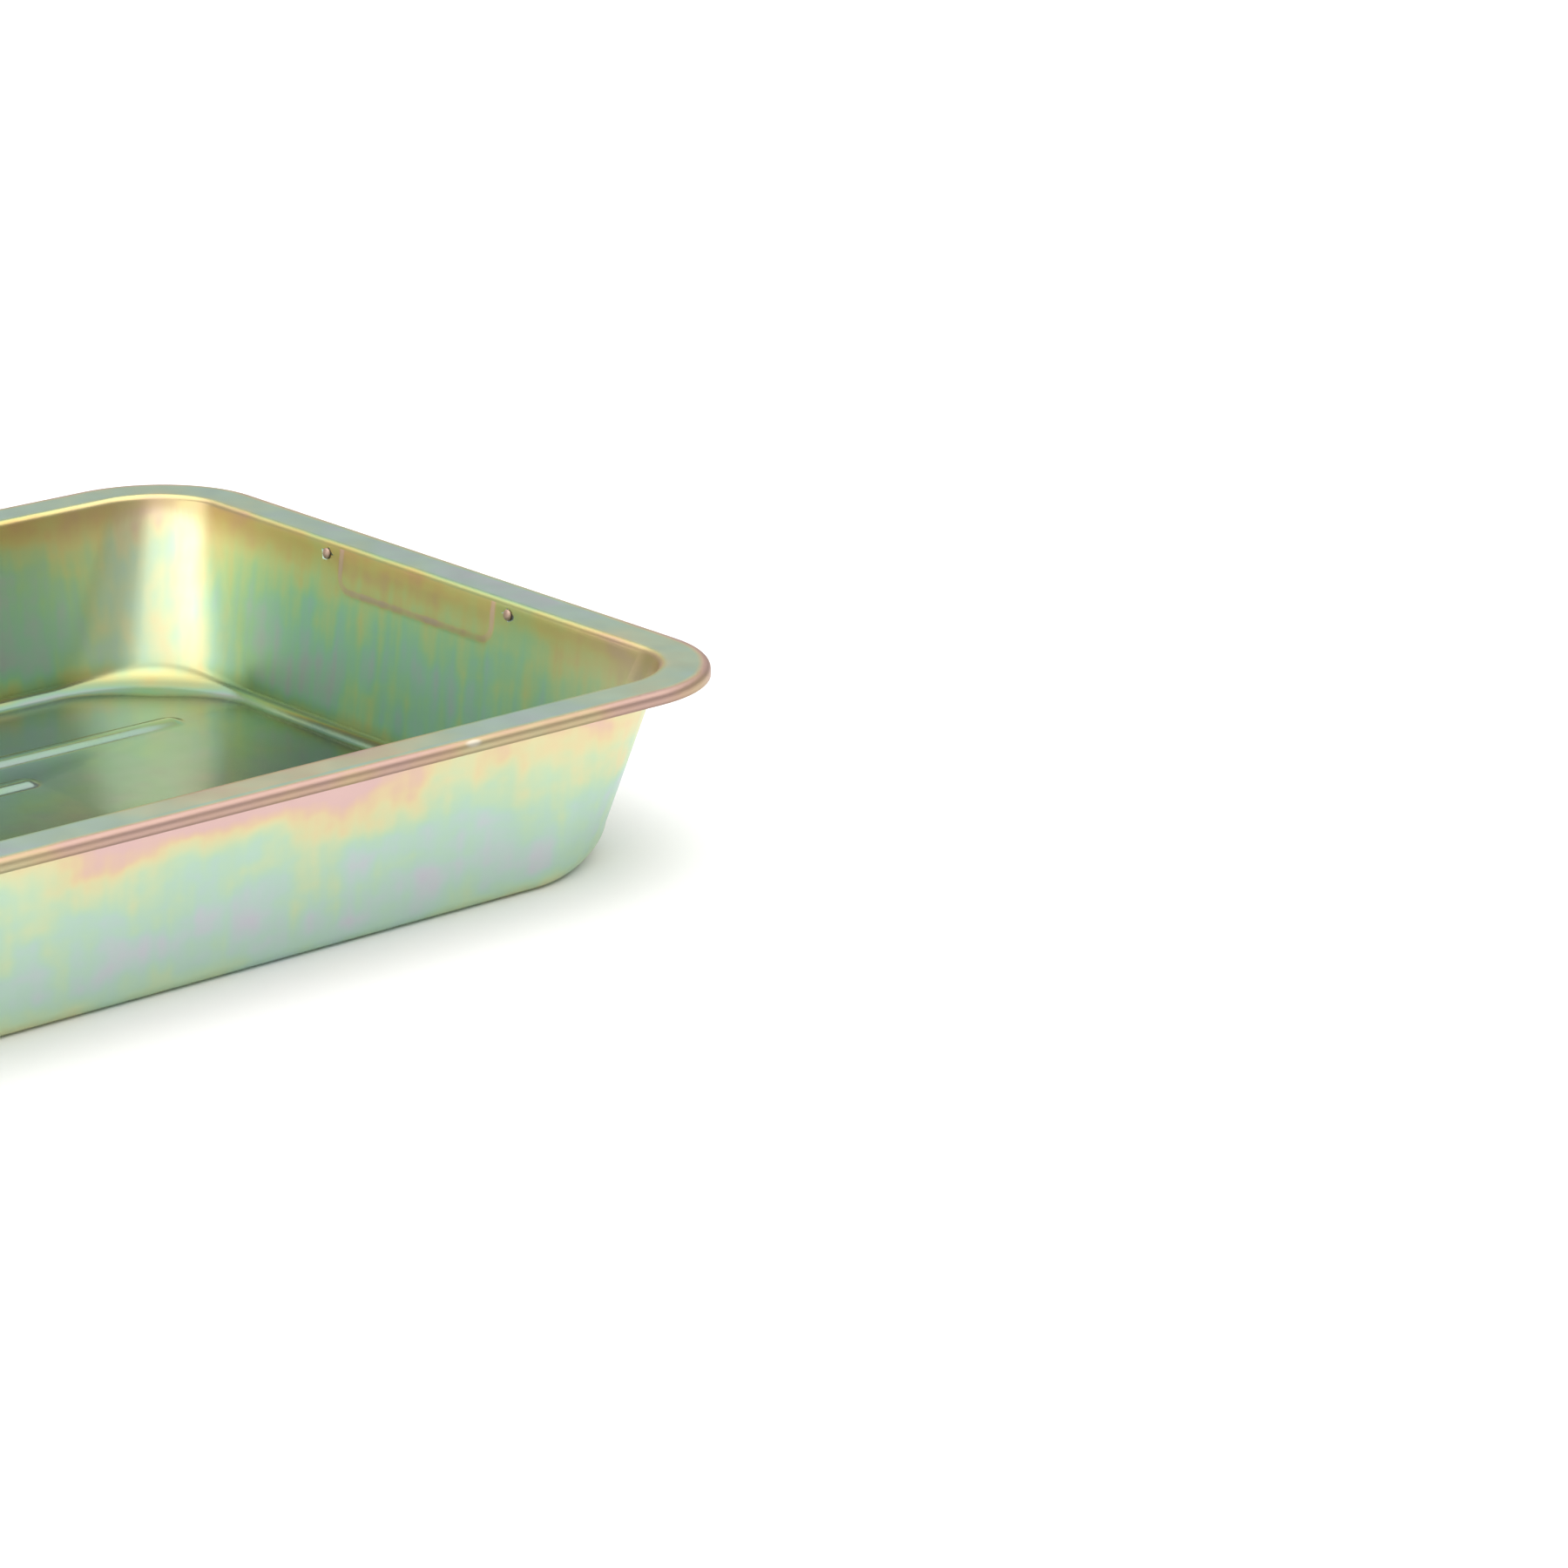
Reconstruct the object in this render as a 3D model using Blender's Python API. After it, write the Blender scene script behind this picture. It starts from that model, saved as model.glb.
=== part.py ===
"""Paint roller tray, pressed from one sheet of zinc-plated steel, with a hanging loop hinged on its deep end.

Frame: origin at the middle of the underside, +X towards the deep end, +Z up. All sizes are in metres.
"""
import math

import bmesh
import bpy
from mathutils import Matrix, Vector

# Driving dimensions of the pan
LENGTH = 0.410
WIDTH = 0.290
HEIGHT = 0.059
SHEET = 0.0007
GAP = 0.0003
FLANGE = 0.0132
LIP_DROP = 0.0036
RIM_CORNER_R = 0.0392
FOOT_CORNER_R = 0.0465
CREASE_R = 0.0020
SHOULDER_R = 0.0020
FILLET_R = 0.0046
CORNER_FILLET_R = 0.012
DRAFT = math.radians(7.4)
CORNER_STEPS = 8

# The ramp that rises from the well to the shallow end
RAMP_FOOT_X = -0.050
RAMP_ANGLE = math.radians(15.0)
RAMP_BEND_R = 0.030
RAMP_BEND_STEPS = 4

# Pressed beads that stiffen the floor and wring out the roller
BEAD_HALF_WIDTH = 0.006
BEAD_RISE = 0.002
BEAD_PITCH = 0.022
BEAD_OUTER_Y = 0.077
BEAD_TIP_X = 0.156
BEAD_TIP_STEP = 0.0685
FLOOR_BEADS_PER_SIDE = 3
FLOOR_BEAD_FOOT_X = -0.040
RAMP_BEADS_PER_SIDE = 4
RAMP_BEAD_X = (-0.066, -0.164)
BEAD_END_STEPS = 6

# Hinge leaf riveted to the outside of the deep end wall, measured down the wall from the rim
LEAF_SHEET = 0.0008
LEAF_LENGTH = 0.105
LEAF_TOP = 0.0021
LEAF_EAR_BOTTOM = 0.0080
KNUCKLE_LENGTH = 0.070
KNUCKLE_DOWN = 0.0112
KNUCKLE_MID_R = 0.0021
KNUCKLE_WRAP = math.radians(285.0)
KNUCKLE_STEPS = 14

# Rivets
RIVET_Y = 0.045
RIVET_DOWN = 0.0039
RIVET_SHANK_R = 0.0011
RIVET_HEAD_R = 0.0017
RIVET_HEAD_RISE = 0.0008
RIVET_STEPS = 20

# Hanging loop of round wire
WIRE_R = 0.0014
LOOP_HALF_WIDTH = 0.040
LOOP_DROP = 0.040
LOOP_BEND_R = 0.006
LOOP_BEND_STEPS = 5

# Finishes: colour, roughness, metallic
YELLOW_ZINC = (0.46, 0.52, 0.36)
PLAIN_ZINC = (0.58, 0.60, 0.58)

HALF_LENGTH = LENGTH / 2
HALF_WIDTH = WIDTH / 2
WALL_TILT = math.pi / 2 - DRAFT
# Inset at which the wall's slant would meet the rim plane
WALL_INSET = FLANGE + SHOULDER_R * math.tan(WALL_TILT / 2)
RAMP_BEND_END_X = RAMP_FOOT_X - RAMP_BEND_R * math.sin(RAMP_ANGLE)


def clear_scene():
    for old in list(bpy.data.objects):
        bpy.data.objects.remove(old, do_unlink=True)


def finish(name, colour, roughness, metallic):
    material = bpy.data.materials.new(name)
    material.use_nodes = True
    shader = material.node_tree.nodes["Principled BSDF"]
    shader.inputs["Base Color"].default_value = (*colour, 1.0)
    shader.inputs["Roughness"].default_value = roughness
    shader.inputs["Metallic"].default_value = metallic
    return material


def add_object(name, data, material):
    thing = bpy.data.objects.new(name, data)
    bpy.context.scene.collection.objects.link(thing)
    data.materials.append(material)
    return thing


def add_mesh(name, bm, material, sharp_degrees=40.0):
    mesh = bpy.data.meshes.new(name)
    bm.to_mesh(mesh)
    bm.free()
    mesh.shade_smooth()
    mesh.set_sharp_from_angle(angle=math.radians(sharp_degrees))
    return add_object(name, mesh, material)


def floor_height(x):
    """Height of the floor's upper face: level in the well, an arc at the bend, then the ramp."""
    if x >= RAMP_FOOT_X:
        return SHEET
    run = min(RAMP_FOOT_X - x, RAMP_BEND_R * math.sin(RAMP_ANGLE))
    arc_rise = RAMP_BEND_R - math.sqrt(RAMP_BEND_R ** 2 - run ** 2)
    ramp_run = max(RAMP_BEND_END_X - x, 0.0)
    return SHEET + arc_rise + ramp_run * math.tan(RAMP_ANGLE)


def side_stations():
    """Places along a long side where every ring has a point, from the ramp's top to the well."""
    bend_run = RAMP_FOOT_X - RAMP_BEND_END_X
    return [RAMP_BEND_END_X + bend_run * i / RAMP_BEND_STEPS for i in range(RAMP_BEND_STEPS + 1)]


def ring_stations():
    """Stations round the tray, as (x side, y side, angle) in a corner and (None, y side, x) along a side."""
    stations = []
    corners = [(1, 1), (-1, 1), (-1, -1), (1, -1)]
    for quarter, (x_side, y_side) in enumerate(corners):
        for step in range(CORNER_STEPS + 1):
            angle = math.pi / 2 * (quarter + step / CORNER_STEPS)
            stations.append((x_side, y_side, angle))
        if quarter == 0:
            stations += [(None, 1, x) for x in reversed(side_stations())]
        if quarter == 2:
            stations += [(None, -1, x) for x in side_stations()]
    return stations


STATIONS = ring_stations()


def plan_point(station, inset, radius):
    """Point of a rounded rectangle that lies inset inside the rim's outline."""
    x_side, y_side, along = station
    if x_side is None:
        return along, y_side * (HALF_WIDTH - inset)
    centre_x = x_side * (HALF_LENGTH - inset - radius)
    centre_y = y_side * (HALF_WIDTH - inset - radius)
    return centre_x + radius * math.cos(along), centre_y + radius * math.sin(along)


def level_ring(inset, z):
    """Ring of the flange, lip or shoulder, at one height."""
    return [Vector((*plan_point(s, inset, RIM_CORNER_R - inset), z)) for s in STATIONS]


def fillet_radius(station):
    """Radius of the fillet at the wall's foot: small along the sides, larger in the corners."""
    x_side, _, along = station
    if x_side is None:
        return FILLET_R
    return FILLET_R + (CORNER_FILLET_R - FILLET_R) * math.sin(2 * along) ** 2


def foot_ring(angle):
    """Ring of the fillet between wall and floor; its angle runs from the draft, on the wall, to 90 degrees."""
    ring = []
    for station in STATIONS:
        fillet = fillet_radius(station)
        x = plan_point(station, WALL_INSET, RIM_CORNER_R)[0]
        for _ in range(6):
            base = floor_height(x)
            wall_z = base + fillet * (1 - math.sin(DRAFT))
            depth = HEIGHT - wall_z
            wall_inset = WALL_INSET + depth * math.tan(DRAFT)
            inset = wall_inset + fillet * (math.cos(DRAFT) - math.cos(angle))
            grown = (FOOT_CORNER_R - RIM_CORNER_R + FLANGE) * depth / HEIGHT
            radius = RIM_CORNER_R - FLANGE + grown - (inset - wall_inset)
            x, y = plan_point(station, inset, radius)
        ring.append(Vector((x, y, floor_height(x) + fillet * (1 - math.sin(angle)))))
    return ring


def arc_fractions(steps):
    return [i / steps for i in range(steps + 1)]


def pan_rings():
    """All rings of the pan's upper face, from the lip's free edge to the edge of the floor."""
    rings = [level_ring(0.0, HEIGHT - LIP_DROP)]
    for part in arc_fractions(3):
        turn = part * math.pi / 2
        inset = CREASE_R * (1 - math.cos(turn))
        rings.append(level_ring(inset, HEIGHT - CREASE_R * (1 - math.sin(turn))))
    for part in arc_fractions(3):
        turn = part * WALL_TILT
        inset = FLANGE + SHOULDER_R * math.sin(turn)
        rings.append(level_ring(inset, HEIGHT - SHOULDER_R * (1 - math.cos(turn))))
    for part in arc_fractions(4):
        rings.append(foot_ring(DRAFT + part * WALL_TILT))
    return rings


def add_loop(bm, points):
    verts = [bm.verts.new(p) for p in points]
    return verts, [bm.edges.new((verts[i - 1], verts[i])) for i in range(len(verts))]


def loft(bm, rings):
    """Skin a stack of rings by extrusion; return the first ring's edges, and the last ring's points in order."""
    station = bm.verts.layers.int.get("station") or bm.verts.layers.int.new("station")
    verts, first_edges = add_loop(bm, rings[0])
    for place, vert in enumerate(verts):
        vert[station] = place
    edges = first_edges
    for ring in rings[1:]:
        made = bmesh.ops.extrude_edge_only(bm, edges=edges)["geom"]
        verts = {item for item in made if isinstance(item, bmesh.types.BMVert)}
        edges = [item for item in made if isinstance(item, bmesh.types.BMEdge) and verts.issuperset(item.verts)]
        for vert in verts:
            vert.co = ring[vert[station]]
    return first_edges, sorted(verts, key=lambda vert: vert[station])


def bead_outline(tip_x, foot_x, y, half_width, rise):
    """Stadium that runs along X on the floor, lifted by rise."""
    points = []
    for end_x, start in ((tip_x, -math.pi / 2), (foot_x, math.pi / 2)):
        inward = -BEAD_HALF_WIDTH if end_x == tip_x else BEAD_HALF_WIDTH
        for part in arc_fractions(BEAD_END_STEPS):
            turn = start + part * math.pi
            x = end_x + inward + half_width * math.cos(turn)
            points.append(Vector((x, y + half_width * math.sin(turn), floor_height(x) + rise)))
    return points


def add_bead(bm, tip_x, foot_x, y):
    """Raise one bead and return the edges of its outline on the floor."""
    shares = ((1.0, 0.0), (0.62, 0.55), (0.22, 1.0))
    rings = [bead_outline(tip_x, foot_x, y, BEAD_HALF_WIDTH * width, BEAD_RISE * rise) for width, rise in shares]
    outline_edges, crest = loft(bm, rings)
    bm.faces.new(crest)
    return outline_edges


def floor_beads():
    """Tip, foot and Y of each bead in the well: the outer pair is longest, and the tips step back inwards."""
    beads = []
    for row in range(FLOOR_BEADS_PER_SIDE):
        for side in (-1, 1):
            beads.append((BEAD_TIP_X - row * BEAD_TIP_STEP, FLOOR_BEAD_FOOT_X,
                          side * (BEAD_OUTER_Y - row * BEAD_PITCH)))
    return beads


def ramp_beads():
    return [(*RAMP_BEAD_X, side * (BEAD_OUTER_Y - row * BEAD_PITCH))
            for row in range(RAMP_BEADS_PER_SIDE) for side in (-1, 1)]


def rivet_frame(y):
    """Frame on the wall's inner face at a rivet: X out through the wall, Y along it, Z up it."""
    centre = wall_point(RIVET_DOWN, 0.0)
    out = wall_normal()
    up = out.cross(Vector((0, 1, 0)))
    rows = Matrix((out, Vector((0, 1, 0)), up)).transposed()
    return Matrix.Translation(centre + Vector((0, y, 0))) @ rows.to_4x4()


def wall_normal():
    """Outward normal of the deep end wall."""
    return Vector((math.cos(DRAFT), 0, -math.sin(DRAFT)))


def wall_point(down, out):
    """Point at Y = 0, down the deep end wall from the rim plane and out from the wall's inner face."""
    top = Vector((HALF_LENGTH - WALL_INSET, 0, HEIGHT))
    slope = Vector((-math.sin(DRAFT), 0, -math.cos(DRAFT)))
    return top + slope * down + wall_normal() * out


def add_solidify(thing, thickness, offset):
    wall = thing.modifiers.new("wall", "SOLIDIFY")
    wall.thickness = thickness
    wall.offset = offset
    wall.use_even_offset = True


def add_holes(thing):
    """Cut a clearance hole for each rivet."""
    for y in (-RIVET_Y, RIVET_Y):
        bm = bmesh.new()
        along_x = Matrix.Rotation(math.pi / 2, 4, "Y")
        bmesh.ops.create_cone(bm, cap_ends=True, segments=RIVET_STEPS, radius1=RIVET_SHANK_R + GAP,
                              radius2=RIVET_SHANK_R + GAP, depth=0.012, matrix=along_x)
        cutter = add_mesh(thing.name + "_cutter", bm, thing.data.materials[0])
        cutter.matrix_world = rivet_frame(y)
        cutter.hide_render = True
        cutter.display_type = "WIRE"
        hole = thing.modifiers.new("rivet_hole", "BOOLEAN")
        hole.operation = "DIFFERENCE"
        hole.object = cutter


def make_pan(material):
    bm = bmesh.new()
    _, floor_edge = loft(bm, pan_rings())
    close_floor(bm, floor_edge)
    bmesh.ops.recalc_face_normals(bm, faces=bm.faces)
    bm.normal_update()
    if max(bm.faces, key=lambda face: face.calc_area()).normal.z < 0:
        bmesh.ops.reverse_faces(bm, faces=bm.faces)
    pan = add_mesh("tray_pan", bm, material)
    add_solidify(pan, SHEET, -1.0)
    add_holes(pan)
    return pan


def close_floor(bm, edge_verts):
    """Fill the well floor, the bend and the ramp inside the ring at the floor's edge."""
    count = CORNER_STEPS + 1
    bend = RAMP_BEND_STEPS + 1
    back = edge_verts[count:count + bend]
    front = edge_verts[3 * count + bend:3 * count + 2 * bend][::-1]
    cross = [bm.edges.new((a, b)) for a, b in zip(back, front)]
    for i in range(RAMP_BEND_STEPS):
        bm.faces.new((back[i], back[i + 1], front[i + 1], front[i]))
    around = len(edge_verts)
    loop_edges = [bm.edges.get((edge_verts[i - 1], edge_verts[i])) for i in range(around)]
    middle = [sum((v.co for v in e.verts), Vector()).x / 2 for e in loop_edges]
    well = [e for e, x in zip(loop_edges, middle) if x > RAMP_FOOT_X] + [cross[0]]
    ramp = [e for e, x in zip(loop_edges, middle) if x < RAMP_BEND_END_X] + [cross[-1]]
    for border, beads in ((well, floor_beads()), (ramp, ramp_beads())):
        for tip_x, foot_x, y in beads:
            border += add_bead(bm, tip_x, foot_x, y)
        bmesh.ops.triangle_fill(bm, use_beauty=True, edges=border)


def leaf_profile():
    """Down the wall and round the wire, as (down, out) of the leaf's middle plane."""
    plane = SHEET + GAP + LEAF_SHEET / 2
    profile = [(LEAF_TOP, plane), (LEAF_EAR_BOTTOM, plane)]
    for part in arc_fractions(KNUCKLE_STEPS):
        turn = part * KNUCKLE_WRAP
        profile.append((KNUCKLE_DOWN + KNUCKLE_MID_R * math.sin(turn),
                        plane + KNUCKLE_MID_R * (1 - math.cos(turn))))
    return profile


def make_leaf(material):
    bm = bmesh.new()
    profile = leaf_profile()
    half, knuckle = LEAF_LENGTH / 2, KNUCKLE_LENGTH / 2
    stations = [-half, -knuckle, knuckle, half]
    top = [bm.verts.new(wall_point(*profile[0]) + Vector((0, y, 0))) for y in stations]
    edges = [bm.edges.new(pair) for pair in zip(top, top[1:])]
    for (down, out), (last_down, last_out) in zip(profile[1:], profile):
        shift = wall_point(down, out) - wall_point(last_down, last_out)
        made = bmesh.ops.extrude_edge_only(bm, edges=edges)["geom"]
        bmesh.ops.translate(bm, verts=[v for v in made if isinstance(v, bmesh.types.BMVert)], vec=shift)
        edges = [e for e in made if isinstance(e, bmesh.types.BMEdge)
                 and max(abs(v.co.y) for v in e.verts) < knuckle + GAP and is_along_y(e)]
    bmesh.ops.recalc_face_normals(bm, faces=bm.faces)
    leaf = add_mesh("hinge_leaf", bm, material)
    add_solidify(leaf, LEAF_SHEET, 0.0)
    add_holes(leaf)
    return leaf


def is_along_y(edge):
    span = edge.verts[0].co - edge.verts[1].co
    return abs(span.y) > 0.9 * span.length


def make_rivet(name, y, material):
    """Domed head in the tray, shank through both sheets, and a formed head outside."""
    grip = SHEET + GAP + LEAF_SHEET
    dome = [(RIVET_HEAD_RISE * math.cos(a), RIVET_HEAD_R * math.sin(a))
            for a in (math.pi / 2 * part for part in arc_fractions(4))]
    profile = [(-GAP - rise, radius) for rise, radius in dome]
    profile += [(-GAP, RIVET_SHANK_R), (grip + GAP, RIVET_SHANK_R)]
    profile += [(grip + GAP + rise, radius) for rise, radius in reversed(dome)]
    bm = bmesh.new()
    verts = [bm.verts.new((x, radius, 0)) for x, radius in profile]
    edges = [bm.edges.new(pair) for pair in zip(verts, verts[1:])]
    bmesh.ops.spin(bm, geom=verts + edges, axis=(1, 0, 0), cent=(0, 0, 0), angle=2 * math.pi,
                   steps=RIVET_STEPS, use_merge=True)
    bmesh.ops.remove_doubles(bm, verts=bm.verts, dist=1e-6)
    bmesh.ops.recalc_face_normals(bm, faces=bm.faces)
    rivet = add_mesh(name, bm, material)
    rivet.matrix_world = rivet_frame(y)
    return rivet


def hinge_centre():
    return wall_point(KNUCKLE_DOWN, SHEET + GAP + LEAF_SHEET / 2 + KNUCKLE_MID_R)


def make_loop(material):
    """Closed loop of wire, hanging straight down from its hinge."""
    curve = bpy.data.curves.new("hanging_loop", "CURVE")
    curve.dimensions = "3D"
    curve.bevel_depth = WIRE_R
    curve.bevel_resolution = 3
    points = []
    corners = [(1, 0.0, math.pi / 2), (-1, 0.0, math.pi), (-1, -LOOP_DROP, 1.5 * math.pi),
               (1, -LOOP_DROP, 2 * math.pi)]
    for side, z, stop in corners:
        centre_y = side * (LOOP_HALF_WIDTH - LOOP_BEND_R)
        centre_z = z + (-LOOP_BEND_R if z == 0.0 else LOOP_BEND_R)
        for part in arc_fractions(LOOP_BEND_STEPS):
            turn = stop - math.pi / 2 * (1 - part)
            points.append((0, centre_y + LOOP_BEND_R * math.cos(turn), centre_z + LOOP_BEND_R * math.sin(turn)))
    spline = curve.splines.new("POLY")
    spline.points.add(len(points) - 1)
    for point, place in zip(spline.points, points):
        point.co = (*place, 1.0)
    spline.use_cyclic_u = True
    loop = add_object("hanging_loop", curve, material)
    loop.location = hinge_centre()
    return loop


def main():
    clear_scene()
    yellow_zinc = finish("yellow_zinc", YELLOW_ZINC, 0.32, 0.95)
    plain_zinc = finish("plain_zinc", PLAIN_ZINC, 0.35, 0.95)
    make_pan(yellow_zinc)
    make_leaf(plain_zinc)
    make_rivet("rivet_left", -RIVET_Y, plain_zinc)
    make_rivet("rivet_right", RIVET_Y, plain_zinc)
    make_loop(plain_zinc)


main()
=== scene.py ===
# %% [markdown]
# # A pressed steel roller tray
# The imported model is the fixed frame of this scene. Its pan, hinge leaf, rivets and wire loop are already
# the right size and in the right place. Here each of them gets a finer surface and a real finish, and the
# places all come from the frame's own boxes.

# %% Load the frame
import math

import bmesh
import bpy
from mathutils import Matrix, Vector


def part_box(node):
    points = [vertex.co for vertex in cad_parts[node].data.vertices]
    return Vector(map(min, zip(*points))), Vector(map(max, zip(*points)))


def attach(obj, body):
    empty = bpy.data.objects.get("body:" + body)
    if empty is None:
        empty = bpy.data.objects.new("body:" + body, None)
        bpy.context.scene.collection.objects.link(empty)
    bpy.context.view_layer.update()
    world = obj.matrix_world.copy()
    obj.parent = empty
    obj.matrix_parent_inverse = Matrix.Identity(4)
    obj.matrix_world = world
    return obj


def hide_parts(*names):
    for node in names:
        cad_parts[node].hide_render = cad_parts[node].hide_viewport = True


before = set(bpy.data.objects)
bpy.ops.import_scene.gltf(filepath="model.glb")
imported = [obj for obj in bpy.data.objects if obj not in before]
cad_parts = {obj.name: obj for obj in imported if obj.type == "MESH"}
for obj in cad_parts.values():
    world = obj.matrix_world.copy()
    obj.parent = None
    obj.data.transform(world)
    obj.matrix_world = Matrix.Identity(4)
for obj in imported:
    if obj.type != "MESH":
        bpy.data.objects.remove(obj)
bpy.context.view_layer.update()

PAN_LOW, PAN_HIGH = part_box("tray_pan")
print("pan box", PAN_LOW, PAN_HIGH)

# %% [markdown]
# ## Driving dimensions
# The overall size is read from the frame. The rest describes how the sheet is bent: a flat flange with a
# turned-down lip, drafted walls so that the pan leaves its die, and a rounded foot. A pressed pan is one
# skin, so it is easiest to draw its upper face only and give it thickness at the end.

# %% Sizes of the pan
HALF_LENGTH = (PAN_HIGH.x - PAN_LOW.x) / 2
HALF_WIDTH = (PAN_HIGH.y - PAN_LOW.y) / 2
HEIGHT = PAN_HIGH.z
SHEET = 0.0007
FLANGE = 0.0132
LIP_DROP = 0.0036
RIM_CORNER_R = 0.0392
FOOT_CORNER_R = 0.0465
CREASE_R = 0.0020
SHOULDER_R = 0.0020
FILLET_R = 0.0046
CORNER_FILLET_R = 0.012
DRAFT = math.radians(7.4)
WALL_TILT = math.pi / 2 - DRAFT
WALL_INSET = FLANGE + SHOULDER_R * math.tan(WALL_TILT / 2)
SUPPORT = 0.0006
CORNER_STEPS = 20

# %% Sizes of the ramp
RAMP_FOOT_X = -0.050
RAMP_ANGLE = math.radians(15.0)
RAMP_BEND_R = 0.030
RAMP_BEND_STEPS = 8
RAMP_BEND_END_X = RAMP_FOOT_X - RAMP_BEND_R * math.sin(RAMP_ANGLE)

# %% Sizes of the beads
BEAD_HALF_WIDTH = 0.006
BEAD_RISE = 0.0014
BEAD_PITCH = 0.022
BEAD_OUTER_Y = 0.077
BEAD_TIP_X = 0.156
BEAD_TIP_STEP = 0.0685
FLOOR_BEADS_PER_SIDE = 3
FLOOR_BEAD_FOOT_X = -0.040
RAMP_BEADS_PER_SIDE = 4
RAMP_BEAD_X = (-0.066, -0.164)
BEAD_END_STEPS = 14
BEAD_PROFILE_STEPS = 7

# %% [markdown]
# ## Shader maths that reads like Python
# A finish is built from many small sums: how far down the wall a point lies, how strong a streak is. Wiring
# Math nodes by hand hides the sum, so a small class wraps a socket and turns `1 - mask` into the node that
# works it out. Every other node comes from one method.

# %% A socket that can be added and multiplied
class Value:
    """A number in a material's node tree."""

    def __init__(self, finish, socket):
        self.finish = finish
        self.socket = socket

    def math(self, operation, *terms, clamp=False):
        return self.finish.node("ShaderNodeMath", {"operation": operation, "use_clamp": clamp}, list(terms))

    def __add__(self, other):
        return self.math("ADD", self, other)

    def __radd__(self, other):
        return self.math("ADD", other, self)

    def __sub__(self, other):
        return self.math("SUBTRACT", self, other)

    def __rsub__(self, other):
        return self.math("SUBTRACT", other, self)

    def __mul__(self, other):
        return self.math("MULTIPLY", self, other)

    def __rmul__(self, other):
        return self.math("MULTIPLY", other, self)

    def size(self):
        return self.math("ABSOLUTE", self)

    def clamped(self):
        return self.math("ADD", self, 0.0, clamp=True)

    def ease(self, low, high):
        """0 below low, 1 above high, and a smooth step between them."""
        settings = {"interpolation_type": "SMOOTHSTEP"}
        inputs = {"Value": self, "From Min": low, "From Max": high}
        return self.finish.node("ShaderNodeMapRange", settings, inputs)


# %% A finish is a material with its Principled shader
class Finish:
    """A material whose nodes are added by short calls."""

    def __init__(self, name, **constants):
        self.material = bpy.data.materials.new(name)
        self.material.use_nodes = True
        self.tree = self.material.node_tree
        self.shader = self.tree.nodes["Principled BSDF"]
        for socket_name, value in constants.items():
            self.shader.inputs[socket_name.replace("_", " ")].default_value = value
        place = self.node("ShaderNodeTexCoord", {}, {}, "Object")
        self.place = place
        self.x, self.y, self.z = (self.node("ShaderNodeSeparateXYZ", {}, [place], axis) for axis in "XYZ")

    def connect(self, value, socket):
        if isinstance(value, Value):
            self.tree.links.new(value.socket, socket)
        else:
            socket.default_value = value

    def node(self, kind, settings, inputs, output=0):
        """Add one node: its settings first, then the values or links of its sockets."""
        node = self.tree.nodes.new(kind)
        for name, value in settings.items():
            if name == "stops":
                self.set_stops(node.color_ramp, value)
            elif name == "blend":
                node.color_ramp.interpolation = value
            else:
                setattr(node, name, value)
        pairs = inputs.items() if isinstance(inputs, dict) else enumerate(inputs)
        for name, value in pairs:
            self.connect(value, node.inputs[name])
        return Value(self, node.outputs[output])

    def set_stops(self, ramp, stops):
        while len(ramp.elements) < len(stops):
            ramp.elements.new(1.0)
        for element, (position, colour) in zip(ramp.elements, stops):
            element.position = position
            element.color = (*colour, 1.0)

    def stretched(self, scale, offset=(0.0, 0.0, 0.0)):
        """Object coordinates multiplied by a different scale along each axis."""
        return self.node("ShaderNodeMapping", {}, {"Vector": self.place, "Scale": scale, "Location": offset})

    def noise(self, scale, detail=3.0, roughness=0.5, offset=(0.0, 0.0, 0.0)):
        """Noise about 0, from roughly -0.5 to 0.5, with its grain set in cycles per metre along each axis."""
        inputs = {"Vector": self.stretched(scale, offset), "Scale": 1.0, "Detail": detail,
                  "Roughness": roughness}
        return self.node("ShaderNodeTexNoise", {}, inputs) - 0.5

    def attribute(self, name):
        """A measurement that the mesh carries on its points."""
        return self.node("ShaderNodeAttribute", {"attribute_name": name}, {}, "Fac")

    def distance(self, scale, point):
        """Distance from a point, with each axis stretched first."""
        stretched_point = tuple(s * p for s, p in zip(scale, point))
        return self.node("ShaderNodeVectorMath", {"operation": "DISTANCE"},
                         [self.stretched(scale), stretched_point], "Value")

    def ramp(self, value, stops, blend="LINEAR"):
        """Colour ramp; a B_SPLINE blend rounds its stops off, and LINEAR keeps them exact."""
        return self.node("ShaderNodeValToRGB", {"stops": stops, "blend": blend}, [value], "Color")

    def mix(self, factor, first, second, blend="MIX"):
        settings = {"data_type": "RGBA", "blend_type": blend}
        return self.node("ShaderNodeMix", settings, {0: factor, 6: first, 7: second}, 2)

    def bump(self, height, distance):
        return self.node("ShaderNodeBump", {}, {"Height": height, "Distance": distance, "Strength": 1.0})

    def use(self, value, socket_name):
        self.connect(value, self.shader.inputs[socket_name])


# %% [markdown]
# ## Yellow zinc
# The plating is a clear film over bright zinc. Its colour depends on how thick the film is, so it drifts
# through lilac, sea green, straw and pink, always in that order. One number, the film's phase, therefore
# carries the whole pattern: add noise to the number, and one colour ramp keeps neighbouring colours true to
# each other.

# %% The order of the film's colours
FILM_COLOURS = [
    (0.00, (0.56, 0.52, 0.62)),
    (0.15, (0.53, 0.59, 0.62)),
    (0.30, (0.40, 0.65, 0.54)),
    (0.45, (0.47, 0.68, 0.42)),
    (0.60, (0.64, 0.68, 0.36)),
    (0.74, (0.75, 0.62, 0.28)),
    (0.86, (0.74, 0.48, 0.30)),
    (1.00, (0.69, 0.42, 0.42)),
]
print("film colours:", len(FILM_COLOURS))


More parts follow.
